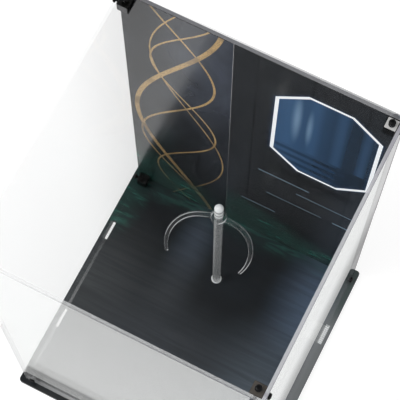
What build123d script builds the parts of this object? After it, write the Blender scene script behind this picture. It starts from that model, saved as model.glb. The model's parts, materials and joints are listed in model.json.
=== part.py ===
from build123d import *
from math import cos, radians
import os

# Action figure display case: a clear cover stands in the slots of a printed base plate,
# over a turning stand with a waist clip. Millimetres, +Z up, +X right, the front towards -Y.
# The origin lies at the middle of the base plate's underside.

# Driving sizes of the cover
case_width = 235
case_depth = 235
case_height = 400
wall_sheet = 3
top_sheet = 3

# Driving sizes of the printed boards on the back wall
board_sheet = 0.5
board_gap = 0.3
board_split_x = -21

# Driving sizes of the base plate
base_sheet = 5
base_overhang = 5
base_corner = 3

# Driving sizes of the tabs under the walls and of their slots
tab_length = 20
tab_spread = 100
tab_corner = 1
tab_above_table = 0.4
slot_clearance = 0.2

# Driving sizes of the corner cubes
cube_size = 10
cube_chamfer = 0.6
cube_above_floor = 3
cube_hole_depth = 3.4

# Driving sizes of the screws; their shanks and holes have few flat sides, since there are many
screw_diameter = 3
screw_head_diameter = 5.5
screw_head_height = 2.2
screw_head_slope = 30
screw_sides = 12
screw_reach = 3.1
screw_hole_clearance = 0.1

# Driving sizes of the stand
stand_y = 53
stand_turn = 8.2
pole_diameter = 8
pole_height = 213
pole_dome_round = 3.4
socket_wall = 0.95
socket_bottom = 1
socket_rise = 1
socket_bevel = 0.4
running_clearance = 0.05

# Driving sizes of the waist clip
clip_below_pole_top = 26
clip_thickness = 3
clip_edge_bevel = 0.5
clip_arm_width = 4.8
clip_tip_width = 2.6
clip_tip_round = 1
clip_back_radius = 57.5
clip_back_sweep = 20
clip_side_radius = 25
clip_side_sweep = 105
hub_diameter = 14
hub_thickness = 5
hub_edge_bevel = 0.7
hub_neck_round = 3.5

# Places worked out from the driving sizes
floor = base_sheet
half_width = case_width / 2
half_depth = case_depth / 2
wall_height = case_height - top_sheet
tab_drop = base_sheet - tab_above_table
side_wall_front = -(half_depth - wall_sheet)
side_wall_back = half_depth - wall_sheet - board_sheet
cube_x = half_width - wall_sheet - cube_size / 2
cube_front_y = side_wall_front + cube_size / 2
cube_back_y = side_wall_back - cube_size / 2
cube_columns_x = (-cube_x, cube_x)
cube_columns_y = (cube_front_y, cube_back_y)
cube_rows = (cube_above_floor + cube_size / 2, wall_height - cube_size / 2)
screw_hole_radius = screw_diameter / 2 + screw_hole_clearance
tab_middles = (-tab_spread / 2, tab_spread / 2)
pole_top = floor + pole_height
clip_middle_z = pole_top - clip_below_pole_top

# The outer face of each wall: its local x runs along the wall, its local y up from the floor
front_face = Plane(origin=(0, -half_depth, floor), x_dir=(1, 0, 0), z_dir=(0, -1, 0))
back_face = Plane(origin=(0, half_depth, floor), x_dir=(-1, 0, 0), z_dir=(0, 1, 0))
left_face = Plane(origin=(-half_width, 0, floor), x_dir=(0, -1, 0), z_dir=(-1, 0, 0))
right_face = Plane(origin=(half_width, 0, floor), x_dir=(0, 1, 0), z_dir=(1, 0, 0))
top_face = Plane.XY.offset(floor + case_height)

os.makedirs("parts", exist_ok=True)


def save(piece, name):
    """Label a finished piece and write it under its name."""
    piece.label = name
    export_step(piece, f"parts/{name}.step")


# Base plate: rounded corners, a slot for each wall tab, a round hole for the stand's socket
socket_diameter = pole_diameter + 2 * (running_clearance + socket_wall)
slot_length = tab_length + 2 * slot_clearance
slot_width = wall_sheet + 2 * slot_clearance
wall_middle_x = half_width - wall_sheet / 2
wall_middle_y = half_depth - wall_sheet / 2

with BuildPart() as base_plate:
    with BuildSketch(Plane.XY):
        RectangleRounded(case_width + 2 * base_overhang, case_depth + 2 * base_overhang, base_corner)
        with GridLocations(tab_spread, 2 * wall_middle_y, 2, 2):
            Rectangle(slot_length, slot_width, mode=Mode.SUBTRACT)
        with GridLocations(2 * wall_middle_x, tab_spread, 2, 2):
            Rectangle(slot_width, slot_length, mode=Mode.SUBTRACT)
        with Locations((0, stand_y)):
            Circle(socket_diameter / 2, mode=Mode.SUBTRACT)
    extrude(amount=base_sheet)
save(base_plate.part, "base_plate")


# Walls: clear sheets, each with two tabs below and a hole for each corner cube
def wall(face, start, end, hole_columns):
    """Build a wall between two places along its outer face, with its inner side one sheet in."""
    with BuildPart() as sheet:
        with BuildSketch(face):
            with Locations(((start + end) / 2, wall_height / 2)):
                Rectangle(end - start, wall_height)
            with Locations([(middle, -tab_drop / 2) for middle in tab_middles]):
                Rectangle(tab_length, tab_drop)
            fillet(vertices().group_by(Axis.Y)[0], tab_corner)
            with Locations([(column, row) for column in hole_columns for row in cube_rows]):
                RegularPolygon(screw_hole_radius, screw_sides, mode=Mode.SUBTRACT)
        extrude(amount=-wall_sheet)
    return sheet.part


left_columns = [-column for column in cube_columns_y]
save(wall(front_face, -half_width, half_width, cube_columns_x), "front_wall")
save(wall(back_face, -half_width, half_width, cube_columns_x), "back_wall")
save(wall(left_face, -side_wall_back, -side_wall_front, left_columns), "left_wall")
save(wall(right_face, side_wall_front, side_wall_back, cube_columns_y), "right_wall")

# Top panel: one sheet that lies on all four walls
top_screw_places = [(column_x, column_y) for column_x in cube_columns_x for column_y in cube_columns_y]

with BuildPart() as top_panel:
    with BuildSketch(top_face):
        Rectangle(case_width, case_depth)
        with Locations(top_screw_places):
            RegularPolygon(screw_hole_radius, screw_sides, mode=Mode.SUBTRACT)
    extrude(amount=-top_sheet)
save(top_panel.part, "top_panel")


# Backdrop boards: two printed sheets side by side, held between the back wall and the side walls
def backdrop(left_edge, right_edge, hole_column):
    """Build a printed board between two places across the case, with its two screw holes."""
    with BuildPart() as printed:
        with BuildSketch(Plane.XZ.offset(-side_wall_back)):
            with Locations(((left_edge + right_edge) / 2, floor + wall_height / 2)):
                Rectangle(right_edge - left_edge, wall_height)
            with Locations([(hole_column, floor + row) for row in cube_rows]):
                RegularPolygon(screw_hole_radius, screw_sides, mode=Mode.SUBTRACT)
        extrude(amount=-board_sheet)
    return printed.part


save(backdrop(-half_width, board_split_x - board_gap / 2, -cube_x), "backdrop_left")
save(backdrop(board_split_x + board_gap / 2, half_width, cube_x), "backdrop_right")


# Corner cubes: each has a screw hole to the outside, to the front or back, and, at the top, upwards
def corner_cube(column_x, column_y, row):
    """Build one cube with blind holes in the faces that lie against a sheet."""
    middle = Vector(column_x, column_y, floor + row)
    outward_x = Vector(1 if column_x > 0 else -1, 0, 0)
    outward_y = Vector(0, 1 if column_y > 0 else -1, 0)
    directions = [outward_x, outward_y]
    if row == cube_rows[-1]:
        directions.append(Vector(0, 0, 1))
    with BuildPart() as cube:
        with Locations(middle):
            Box(cube_size, cube_size, cube_size)
        chamfer(cube.edges(), cube_chamfer)
        for direction in directions:
            with BuildSketch(Plane(origin=middle + direction * (cube_size / 2), z_dir=direction)):
                RegularPolygon(screw_diameter / 2, screw_sides)
            extrude(amount=-cube_hole_depth, mode=Mode.SUBTRACT)
    return cube.part


column_names = (("left", -cube_x), ("right", cube_x))
depth_names = (("front", cube_front_y), ("back", cube_back_y))
row_names = (("bottom", cube_rows[0]), ("top", cube_rows[-1]))
for row_name, row in row_names:
    for depth_name, column_y in depth_names:
        for column_name, column_x in column_names:
            cube_name = f"cube_{row_name}_{depth_name}_{column_name}"
            save(corner_cube(column_x, column_y, row), cube_name)


# Screws: tapered heads that clamp one sheet, or the back wall and its board, onto the cubes
def screw_group(face, places, clamped):
    """Build one screw at each place on a face, its head outside and its shank going inwards."""
    with BuildPart() as group:
        with BuildSketch(face):
            with Locations(places):
                RegularPolygon(screw_diameter / 2, screw_sides)
        extrude(amount=-(clamped + screw_reach))
        with BuildSketch(face):
            with Locations(places):
                Circle(screw_head_diameter / 2)
        extrude(amount=screw_head_height, taper=screw_head_slope)
    return group.part


def wall_places(columns):
    """Give the four screw places of a wall, along it and up from the floor."""
    return [(column, row) for column in columns for row in cube_rows]


back_clamped = wall_sheet + board_sheet
save(screw_group(front_face, wall_places(cube_columns_x), wall_sheet), "front_screws")
save(screw_group(back_face, wall_places(cube_columns_x), back_clamped), "back_screws")
save(screw_group(left_face, wall_places(left_columns), wall_sheet), "left_screws")
save(screw_group(right_face, wall_places(cube_columns_y), wall_sheet), "right_screws")
save(screw_group(top_face, top_screw_places, top_sheet), "top_screws")

# Pole socket: a clear bush through the base plate, closed below, in which the pole turns
socket_place = Plane.XY.move(Location((0, stand_y, 0)))
bore_radius = pole_diameter / 2 + running_clearance

with BuildPart(socket_place) as pole_socket:
    Cylinder(
        socket_diameter / 2,
        base_sheet + socket_rise,
        align=(Align.CENTER, Align.CENTER, Align.MIN),
    )
    chamfer(pole_socket.edges().sort_by(Axis.Z)[-1], socket_bevel)
    with Locations((0, 0, socket_bottom)):
        Cylinder(
            bore_radius,
            base_sheet + socket_rise,
            align=(Align.CENTER, Align.CENTER, Align.MIN),
            mode=Mode.SUBTRACT,
        )
save(pole_socket.part, "pole_socket")

# Pole: a clear rod that stands on the socket's bottom and ends in a dome
with BuildPart(socket_place) as pole:
    with Locations((0, 0, socket_bottom)):
        Cylinder(
            pole_diameter / 2,
            pole_top - socket_bottom,
            align=(Align.CENTER, Align.CENTER, Align.MIN),
        )
    fillet(pole.edges().sort_by(Axis.Z)[-1], pole_dome_round)
save(pole.part, "pole")

# Waist clip: a hub on the pole with two arms, each a flat back arc that runs on into a tighter side arc;
# the side arc's inner edge has a larger radius than the arm's width alone gives, so the arm narrows to its tip
half_arm = clip_arm_width / 2
arm_taper = (clip_arm_width - clip_tip_width) / (1 - cos(radians(clip_side_sweep)))
inner_side_radius = clip_side_radius - half_arm + arm_taper

clip_middle = Plane(
    origin=(0, stand_y, clip_middle_z),
    x_dir=Vector(1, 0, 0).rotate(Axis.Z, stand_turn),
    z_dir=(0, 0, 1),
)

with BuildPart(clip_middle) as hub:
    Cylinder(hub_diameter / 2, hub_thickness)
    chamfer(hub.edges().filter_by(GeomType.CIRCLE), hub_edge_bevel)

with BuildPart() as waist_clip:
    with BuildSketch(clip_middle.offset(-clip_thickness / 2)) as arms:
        with BuildLine():
            outer_back = JernArc((0, half_arm), (1, 0), clip_back_radius + half_arm, -clip_back_sweep)
            outer_side = JernArc(
                outer_back @ 1, outer_back % 1, clip_side_radius + half_arm, -clip_side_sweep
            )
            inner_back = JernArc((0, -half_arm), (1, 0), clip_back_radius - half_arm, -clip_back_sweep)
            inner_side = JernArc(inner_back @ 1, inner_back % 1, inner_side_radius, -clip_side_sweep)
            Line(outer_back @ 0, inner_back @ 0)
            Line(outer_side @ 1, inner_side @ 1)
        make_face()
        tip_corners = arms.vertices().sort_by_distance((0, 0))[-2:]
        fillet(tip_corners, clip_tip_round)
        mirror(about=Plane.YZ)
        Circle(hub_diameter / 2 - hub_edge_bevel)
        neck_corners = arms.vertices().sort_by_distance((0, 0))[:4]
        fillet(neck_corners, hub_neck_round)
    extrude(amount=clip_thickness)
    chamfer(waist_clip.edges().filter_by(clip_middle), clip_edge_bevel)
    add(hub.part)
    with BuildSketch(clip_middle.offset(-hub_thickness / 2)):
        Circle(bore_radius)
    extrude(amount=hub_thickness, mode=Mode.SUBTRACT)
save(waist_clip.part, "waist_clip")
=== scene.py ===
"""An action figure display case: its finishes, prints, clear sheets, screws, stand, table and camera."""

import json
import logging
import math
from collections.abc import Callable, Iterator
from contextlib import contextmanager
from dataclasses import dataclass
from enum import Enum

import bmesh
import bpy
from mathutils import Matrix, Quaternion, Vector

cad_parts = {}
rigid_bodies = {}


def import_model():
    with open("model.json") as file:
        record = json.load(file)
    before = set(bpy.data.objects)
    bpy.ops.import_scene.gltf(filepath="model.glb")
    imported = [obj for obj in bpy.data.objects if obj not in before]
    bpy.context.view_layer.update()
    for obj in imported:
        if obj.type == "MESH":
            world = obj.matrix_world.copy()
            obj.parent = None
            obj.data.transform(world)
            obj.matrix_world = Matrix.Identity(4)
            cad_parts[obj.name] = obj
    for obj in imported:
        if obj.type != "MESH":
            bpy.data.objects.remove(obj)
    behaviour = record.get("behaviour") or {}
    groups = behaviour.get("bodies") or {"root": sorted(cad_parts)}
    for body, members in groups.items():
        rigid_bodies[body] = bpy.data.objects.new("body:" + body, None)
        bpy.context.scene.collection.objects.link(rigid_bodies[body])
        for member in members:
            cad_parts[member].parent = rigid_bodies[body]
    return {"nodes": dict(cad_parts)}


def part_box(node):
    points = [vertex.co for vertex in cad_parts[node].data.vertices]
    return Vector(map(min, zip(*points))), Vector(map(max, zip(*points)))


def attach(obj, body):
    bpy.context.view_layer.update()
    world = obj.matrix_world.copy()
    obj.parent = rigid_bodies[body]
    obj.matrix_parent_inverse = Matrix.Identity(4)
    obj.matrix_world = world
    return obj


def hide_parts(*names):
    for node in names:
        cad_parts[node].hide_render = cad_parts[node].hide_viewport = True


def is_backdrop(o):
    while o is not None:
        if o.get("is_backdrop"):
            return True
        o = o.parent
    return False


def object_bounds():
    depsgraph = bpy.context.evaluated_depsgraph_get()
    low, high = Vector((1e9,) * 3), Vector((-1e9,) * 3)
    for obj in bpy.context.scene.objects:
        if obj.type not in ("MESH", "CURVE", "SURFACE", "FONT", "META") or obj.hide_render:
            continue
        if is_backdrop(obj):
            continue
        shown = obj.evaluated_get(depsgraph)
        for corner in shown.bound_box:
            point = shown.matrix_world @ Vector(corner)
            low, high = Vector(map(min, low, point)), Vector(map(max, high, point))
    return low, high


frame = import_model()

log = logging.getLogger("display_case")

MM = 0.001
Colour = tuple[float, float, float, float]
Socket = bpy.types.NodeSocket
Feed = Socket | float | Colour


def from_screen(red: int, green: int, blue: int) -> Colour:
    """Turn a colour as a screen shows it into the linear colour that a shader uses.

    Args:
        red: Red channel, 0 to 255.
        green: Green channel, 0 to 255.
        blue: Blue channel, 0 to 255.

    Returns:
        The linear colour, opaque.
    """
    shares = (red / 255, green / 255, blue / 255)
    linear = [s / 12.92 if s <= 0.04045 else ((s + 0.055) / 1.055) ** 2.4 for s in shares]
    return (linear[0], linear[1], linear[2], 1.0)


WHITE: Colour = (1.0, 1.0, 1.0, 1.0)
UNLIT: Colour = (0.0, 0.0, 0.0, 1.0)
SEE_THROUGH: Colour = (0.998, 0.999, 0.999, 1.0)
POLISHED: Colour = (0.99, 1.0, 0.995, 1.0)
BARE_BOARD: Colour = from_screen(34, 35, 37)


class Wiring:
    """The node tree of a material or of the surroundings, with short methods that add and join its nodes."""

    def __init__(self, name: str, surroundings: bool = False) -> None:
        """Start an empty tree that reads a piece's own coordinates.

        Args:
            name: The name of the material or of the surroundings.
            surroundings: Whether the tree is for the surroundings.
        """
        owners = bpy.data.worlds if surroundings else bpy.data.materials
        self.output = "OutputWorld" if surroundings else "OutputMaterial"
        self.owner = owners.new(name)
        self.owner.use_nodes = True
        self.tree = self.owner.node_tree
        self.tree.nodes.clear()
        coordinates = self.add("TexCoord")
        self.place = coordinates.outputs["Object"]
        self.normal = coordinates.outputs["Normal"]

    def add(self, kind: str, **settings: object) -> bpy.types.Node:
        """Add a node.

        Args:
            kind: The node's type without its ShaderNode prefix.
            settings: Properties to set on the node.

        Returns:
            The new node.
        """
        node = self.tree.nodes.new("ShaderNode" + kind)
        for key, value in settings.items():
            setattr(node, key, value)
        return node

    def feed(self, socket: Socket, value: Feed) -> None:
        """Join an output to a socket, or set the socket to a plain value.

        Args:
            socket: The input to feed.
            value: An output, a number or a colour.
        """
        if isinstance(value, bpy.types.NodeSocket):
            self.tree.links.new(value, socket)
        else:
            socket.default_value = value

    def sum(self, operation: str, *values: Feed) -> Socket:
        """Work out one number from others.

        Args:
            operation: The Math node's operation, such as ADD.
            values: One to three outputs or numbers.

        Returns:
            The result.
        """
        node = self.add("Math", operation=operation)
        for socket, value in zip(node.inputs, values):
            self.feed(socket, value)
        return node.outputs[0]

    def axes(self, vector: Socket) -> tuple[Socket, Socket, Socket]:
        """Split a vector into its three numbers.

        Args:
            vector: The vector.

        Returns:
            The numbers along x, y and z.
        """
        node = self.add("SeparateXYZ")
        self.feed(node.inputs[0], vector)
        return node.outputs[0], node.outputs[1], node.outputs[2]

    def step(self, value: Feed, start: float, end: float) -> Socket:
        """Rise smoothly from 0 to 1 between two limits.

        Args:
            value: The number to look at.
            start: Where the result is 0.
            end: Where the result is 1.

        Returns:
            The smooth step.
        """
        node = self.add("MapRange", interpolation_type="SMOOTHSTEP")
        self.feed(node.inputs["Value"], value)
        if start > end:
            start, end = end, start
            node.inputs["To Min"].default_value = 1.0
            node.inputs["To Max"].default_value = 0.0
        node.inputs["From Min"].default_value = start
        node.inputs["From Max"].default_value = end
        return node.outputs["Result"]

    def grain(self, size: float, detail: float = 3.0, stretch: tuple[float, float, float] = (1, 1, 1),
              swirl: float = 0.0) -> Socket:
        """Make soft noise over the piece.

        Args:
            size: The noise's grain in metres.
            detail: How many finer layers it has.
            stretch: How much longer its grains are along each axis.
            swirl: How much the noise is swirled.

        Returns:
            The noise, 0 to 1.
        """
        mapping = self.add("Mapping")
        self.feed(mapping.inputs["Vector"], self.place)
        mapping.inputs["Scale"].default_value = [1 / part for part in stretch]
        noise = self.add("TexNoise")
        self.feed(noise.inputs["Vector"], mapping.outputs[0])
        noise.inputs["Scale"].default_value = 1 / size
        noise.inputs["Detail"].default_value = detail
        noise.inputs["Distortion"].default_value = swirl
        return noise.outputs["Fac"]

    def blend(self, share: Feed, first: Feed, second: Feed, method: str = "MIX") -> Socket:
        """Blend two colours.

        Args:
            share: The second colour's share.
            first: The first colour.
            second: The second colour.
            method: How they are blended.

        Returns:
            The blended colour.
        """
        node = self.add("Mix", data_type="RGBA", blend_type=method)
        self.feed(node.inputs[0], share)
        self.feed(node.inputs[6], first)
        self.feed(node.inputs[7], second)
        return node.outputs[2]

    def relief(self, height: Feed, depth: float, strength: float = 1.0) -> Socket:
        """Turn a height into a bumped normal.

        Args:
            height: The height, 0 to 1.
            depth: The relief's depth in metres.
            strength: How strongly it shows.

        Returns:
            The normal.
        """
        node = self.add("Bump")
        node.inputs["Strength"].default_value = strength
        node.inputs["Distance"].default_value = depth
        self.feed(node.inputs["Height"], height)
        return node.outputs[0]

    def mirrored(self, index: float) -> Socket:
        """Work out how much a clear face mirrors, alike from outside and from within.

        Args:
            index: How strongly it mirrors, as a refractive index.

        Returns:
            The mirrored share.
        """
        inside = self.add("NewGeometry").outputs["Backfacing"]
        fresnel = self.add("Fresnel")
        self.feed(fresnel.inputs["IOR"], self.sum("MULTIPLY_ADD", inside, 1 / index - index, index))
        return fresnel.outputs[0]

    def distance(self, *offsets: Socket) -> Socket:
        """Work out a distance from its parts along the axes.

        Args:
            offsets: The parts, two or more.

        Returns:
            The distance.
        """
        square: Feed = 0.0
        for offset in offsets:
            square = self.sum("MULTIPLY_ADD", offset, offset, square)
        return self.sum("SQRT", square)

    def shader(self, kind: str, **values: Feed) -> Socket:
        """Add a shader and set its sockets.

        Args:
            kind: The shader's type without its ShaderNode prefix.
            values: Socket names, with _ for spaces, and what each gets.

        Returns:
            The shader.
        """
        node = self.add(kind)
        for key, value in values.items():
            self.feed(node.inputs[key.replace("_", " ")], value)
        return node.outputs[0]

    def mix(self, share: Feed, first: Socket, second: Socket) -> Socket:
        """Mix two shaders.

        Args:
            share: The second shader's share.
            first: The first shader.
            second: The second shader.

        Returns:
            The mixed shader.
        """
        node = self.add("MixShader")
        self.feed(node.inputs[0], share)
        self.feed(node.inputs[1], first)
        self.feed(node.inputs[2], second)
        return node.outputs[0]

    def finish(self, shader: Socket) -> bpy.types.Material | bpy.types.World:
        """Show a shader as the material's surface, or as the surroundings.

        Args:
            shader: The shader.

        Returns:
            The finished material or surroundings.
        """
        output = self.add(self.output)
        self.feed(output.inputs["Surface"], shader)
        return self.owner


class Across(Enum):
    """One of the three axes, as its number in a vector."""

    X = 0
    Y = 1
    Z = 2


@dataclass(frozen=True)
class Fade:
    """How a sheet changes along an axis, such as its cut edges from clear to pale.

    Attributes:
        along: The axis.
        clear: Where the change starts.
        pale: Where it is complete.
        least: The share of an edge's paleness that it has before the change starts.
    """

    along: Across
    clear: float
    pale: float
    least: float = 0.0


@dataclass(frozen=True)
class ClearSheet:
    """Polished clear acrylic sheet with paler, saw-cut edges.

    Attributes:
        name: The material's name.
        across: The axis of the sheet's thickness.
        index: How strongly its two faces mirror, as a refractive index.
        top_body: How much of the upper cut edges is pale and not see-through.
        foot_body: The same for the lower cut edges.
        fade: Where the cut edges are clear, if not all along.
        edge: The cut edges' colour.
        middle: The height that parts upper from lower edges.
        tab_height: The height below which the tabs lie in the base plate's slots.
        tab_body: The share of the paleness that the tabs' edges have.
        painted_darkening: Where the faces turn from clear to gray, if anywhere: painted shade on the back
            wall and a painted reflection on the left wall.
        painted_darkening_tone: That gray's tone, on each face.
        mirrored_shadow: Where the faces mirror less brightly, if anywhere: a painted reflection of a shadow.
        mirrored_shadow_tone: The tone of what they mirror there, darkened as a painted shadow.
        smear: How rough the smears on the faces are.
        unseen: The mirrored share that is left out, as faint mirroring of white only shows as grain; the
            prints' inks carry it as a painted reflection.
        saw_share: How strongly the saw marks on the cut edges show.
    """

    name: str
    across: Across
    index: float
    top_body: float
    foot_body: float = 0.3
    fade: Fade | None = None
    edge: Colour = (0.95, 0.95, 0.96, 1.0)
    middle: float = 0.2
    tab_height: float = 0.0047
    tab_body: float = 0.3
    painted_darkening: Fade | None = None
    painted_darkening_tone: float = 0.93
    mirrored_shadow: Fade | None = None
    mirrored_shadow_tone: float = 0.75
    smear: float = 0.02
    unseen: float = 0.0
    saw_share: float = 0.12

    def material(self) -> bpy.types.Material:
        """Make the sheet's material.

        Returns:
            The material.
        """
        wiring = Wiring(self.name)
        mirrored = wiring.sum("SUBTRACT", wiring.mirrored(self.index), self.unseen)
        share = wiring.sum("MAXIMUM", mirrored, 0.0)
        smears = wiring.grain(0.06, 4, (1, 1, 2.5), 1.2)
        gloss = wiring.add("BsdfGlossy")
        wiring.feed(gloss.inputs["Roughness"], wiring.sum("MULTIPLY", smears, self.smear))
        # The mirror colour may darken along one axis: a painted reflection of a shadow.
        wiring.feed(gloss.inputs["Color"], self.tone(wiring, POLISHED, self.mirrored_shadow, self.mirrored_shadow_tone))
        clear = wiring.shader("BsdfTransparent", Color=SEE_THROUGH)
        # The see-through tone may turn gray along one axis, as painted shade and painted reflection.
        seen = wiring.add("BsdfTransparent")
        wiring.feed(seen.inputs["Color"], self.tone(wiring, SEE_THROUGH, self.painted_darkening, self.painted_darkening_tone))
        face = wiring.mix(share, seen.outputs[0], gloss.outputs[0])
        saw_marks = wiring.grain(0.0004, 2, (1, 1, 30))
        tone = wiring.blend(wiring.sum("MULTIPLY", saw_marks, self.saw_share), self.edge, WHITE)
        cut = wiring.shader("BsdfDiffuse", Color=tone)
        edge = wiring.mix(self.edge_share(wiring), clear, cut)
        facing = wiring.axes(wiring.normal)[self.across.value]
        is_face = wiring.sum("GREATER_THAN", wiring.sum("ABSOLUTE", facing), 0.9)
        return wiring.finish(wiring.mix(is_face, edge, face))

    def tone(self, wiring: Wiring, plain: Colour, fade: Fade | None, gray: float) -> Feed:
        """Work out a face's tone, which may turn to gray along an axis.

        Args:
            wiring: The material's tree.
            plain: The tone without a fade.
            fade: Where it turns to gray, if anywhere.
            gray: The gray that it turns to.

        Returns:
            The tone.
        """
        if not fade:
            return plain
        reach = wiring.step(wiring.axes(wiring.place)[fade.along.value], fade.clear, fade.pale)
        return wiring.blend(reach, plain, (gray, gray, gray, 1))

    def edge_share(self, wiring: Wiring) -> Socket:
        """Work out how pale the cut edge is at each place.

        Args:
            wiring: The material's tree.

        Returns:
            The pale share.
        """
        places = wiring.axes(wiring.place)
        height = places[Across.Z.value]
        upper = wiring.sum("GREATER_THAN", height, self.middle)
        share = wiring.sum("MULTIPLY_ADD", upper, self.top_body - self.foot_body, self.foot_body)
        if self.fade:
            strength = wiring.step(places[self.fade.along.value], self.fade.clear, self.fade.pale)
            strength = wiring.sum("MULTIPLY_ADD", strength, 1 - self.fade.least, self.fade.least)
            share = wiring.sum("MULTIPLY", share, strength)
        above_tab = wiring.sum("GREATER_THAN", height, self.tab_height)
        kept = wiring.sum("MULTIPLY_ADD", above_tab, 1 - self.tab_body, self.tab_body)
        return wiring.sum("MULTIPLY", share, kept)


@dataclass(frozen=True)
class ClearMoulded:
    """Clear moulded plastic with some haze, for the stand's pole and bush, with painted light in its milky
    upper end and outline.

    Attributes:
        name: The material's name.
        haze: How much of the plastic is milky.
        piped_light_haze: How much is milky in its upper end: painted light, for the light that the pole
            pipes up from the table.
        painted_rim_reflection: How much more is milky where the surface turns away: a painted reflection of
            the white surroundings.
        piped_light_height: Where the milky end with its painted light starts.
        end_rings: The heights of the darker rings in that end.
        ring_width: Their width.
        ring_depth: How much of the end's painted light they take away.
        tone: The plastic's colour.
        index: Its refractive index.
    """

    name: str
    haze: float = 0.09
    piped_light_haze: float = 0.9
    painted_rim_reflection: float = 0.4
    piped_light_height: float = 0.196
    end_rings: tuple[float, ...] = (0.1985, 0.2045, 0.2125)
    ring_width: float = 0.0026
    ring_depth: float = 0.85
    tone: Colour = (0.93, 0.95, 0.95, 1.0)
    index: float = 1.46

    def material(self) -> bpy.types.Material:
        """Make the moulded plastic's material.

        Returns:
            The material.
        """
        wiring = Wiring(self.name)
        flow = wiring.grain(0.012, 3, (1, 1, 4), 0.8)
        gloss = wiring.sum("ADD", wiring.sum("MULTIPLY", flow, 0.02), 0.005)
        normal = wiring.relief(flow, 0.0001, 0.2)
        body = wiring.add("BsdfPrincipled")
        body.inputs["Base Color"].default_value = self.tone
        body.inputs["IOR"].default_value = self.index
        height = wiring.axes(wiring.place)[Across.Z.value]
        # The upper end is painted milky: painted light, for light piped up the pole from the table.
        upper = wiring.step(height, self.piped_light_height, self.piped_light_height + 2 * MM)
        for ring in self.end_rings:
            offset = wiring.sum("ABSOLUTE", wiring.sum("SUBTRACT", height, ring))
            beyond = wiring.step(offset, self.ring_width * 0.35, self.ring_width * 0.65)
            kept = wiring.sum("MULTIPLY_ADD", beyond, self.ring_depth, 1 - self.ring_depth)
            upper = wiring.sum("MULTIPLY", upper, kept)
        # Where the surface turns away it is painted milkier: a painted reflection of the white surroundings.
        turned = wiring.add("LayerWeight").outputs["Facing"]
        rim = wiring.sum("MULTIPLY_ADD", wiring.step(turned, 0.55, 0.95), self.painted_rim_reflection, self.haze)
        # The milky share holds the plastic's own haze, the painted light of the upper end and the painted
        # reflection at the outline.
        milky = wiring.sum("MINIMUM", wiring.sum("MULTIPLY_ADD", upper, self.piped_light_haze - self.haze, rim), 1.0)
        wiring.feed(body.inputs["Transmission Weight"], wiring.sum("SUBTRACT", 1.0, milky))
        wiring.feed(body.inputs["Roughness"], gloss)
        wiring.feed(body.inputs["Normal"], normal)
        return wiring.finish(body.outputs[0])


@dataclass(frozen=True)
class ClearPlate:
    """Thin clear plate with paler softened edges, for the waist clip.

    Attributes:
        name: The material's name.
        index: How strongly its two faces mirror, as a refractive index.
        edge: How much of the softened edges is pale.
        glint: How much of them is pale where they face the light.
        tone: The plate's colour as one looks through it.
        pale: The pale edges' lighter colour.
        cloudy: The pale edges' darker colour.
    """

    name: str
    index: float
    edge: float
    glint: float = 0.75
    tone: Colour = (0.97, 0.98, 0.98, 1.0)
    pale: Colour = (0.94, 0.95, 0.96, 1.0)
    cloudy: Colour = (0.62, 0.64, 0.65, 1.0)

    def material(self) -> bpy.types.Material:
        """Make the clear plate's material.

        Returns:
            The material.
        """
        wiring = Wiring(self.name)
        flow = wiring.grain(0.006, 3, (1, 1, 3), 0.8)
        gloss = wiring.add("BsdfGlossy")
        gloss.inputs["Color"].default_value = WHITE
        wiring.feed(gloss.inputs["Roughness"], wiring.sum("MULTIPLY", flow, 0.06))
        clear = wiring.shader("BsdfTransparent", Color=self.tone)
        face = wiring.mix(wiring.mirrored(self.index), clear, gloss.outputs[0])
        # The pale edges' shader, which also carries the painted glint where the edges face the light.
        pale_and_glare = wiring.add("BsdfPrincipled")
        pale_and_glare.inputs["Roughness"].default_value = 0.12
        wiring.feed(pale_and_glare.inputs["Base Color"], wiring.blend(flow, self.cloudy, self.pale))
        right, back, up = wiring.axes(wiring.normal)
        tilt = wiring.sum("ABSOLUTE", up)
        side = wiring.sum("MULTIPLY", wiring.step(tilt, 0.95, 0.85), wiring.step(tilt, 0.3, 0.5))
        towards = wiring.sum("MULTIPLY_ADD", right, 0.8, wiring.sum("MULTIPLY", back, -0.45))
        lit = wiring.sum("MULTIPLY", wiring.step(towards, 0.42, 0.6), self.glint)
        share = wiring.sum("MULTIPLY", side, wiring.sum("MAXIMUM", lit, self.edge))
        return wiring.finish(wiring.mix(share, face, pale_and_glare.outputs[0]))


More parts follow.
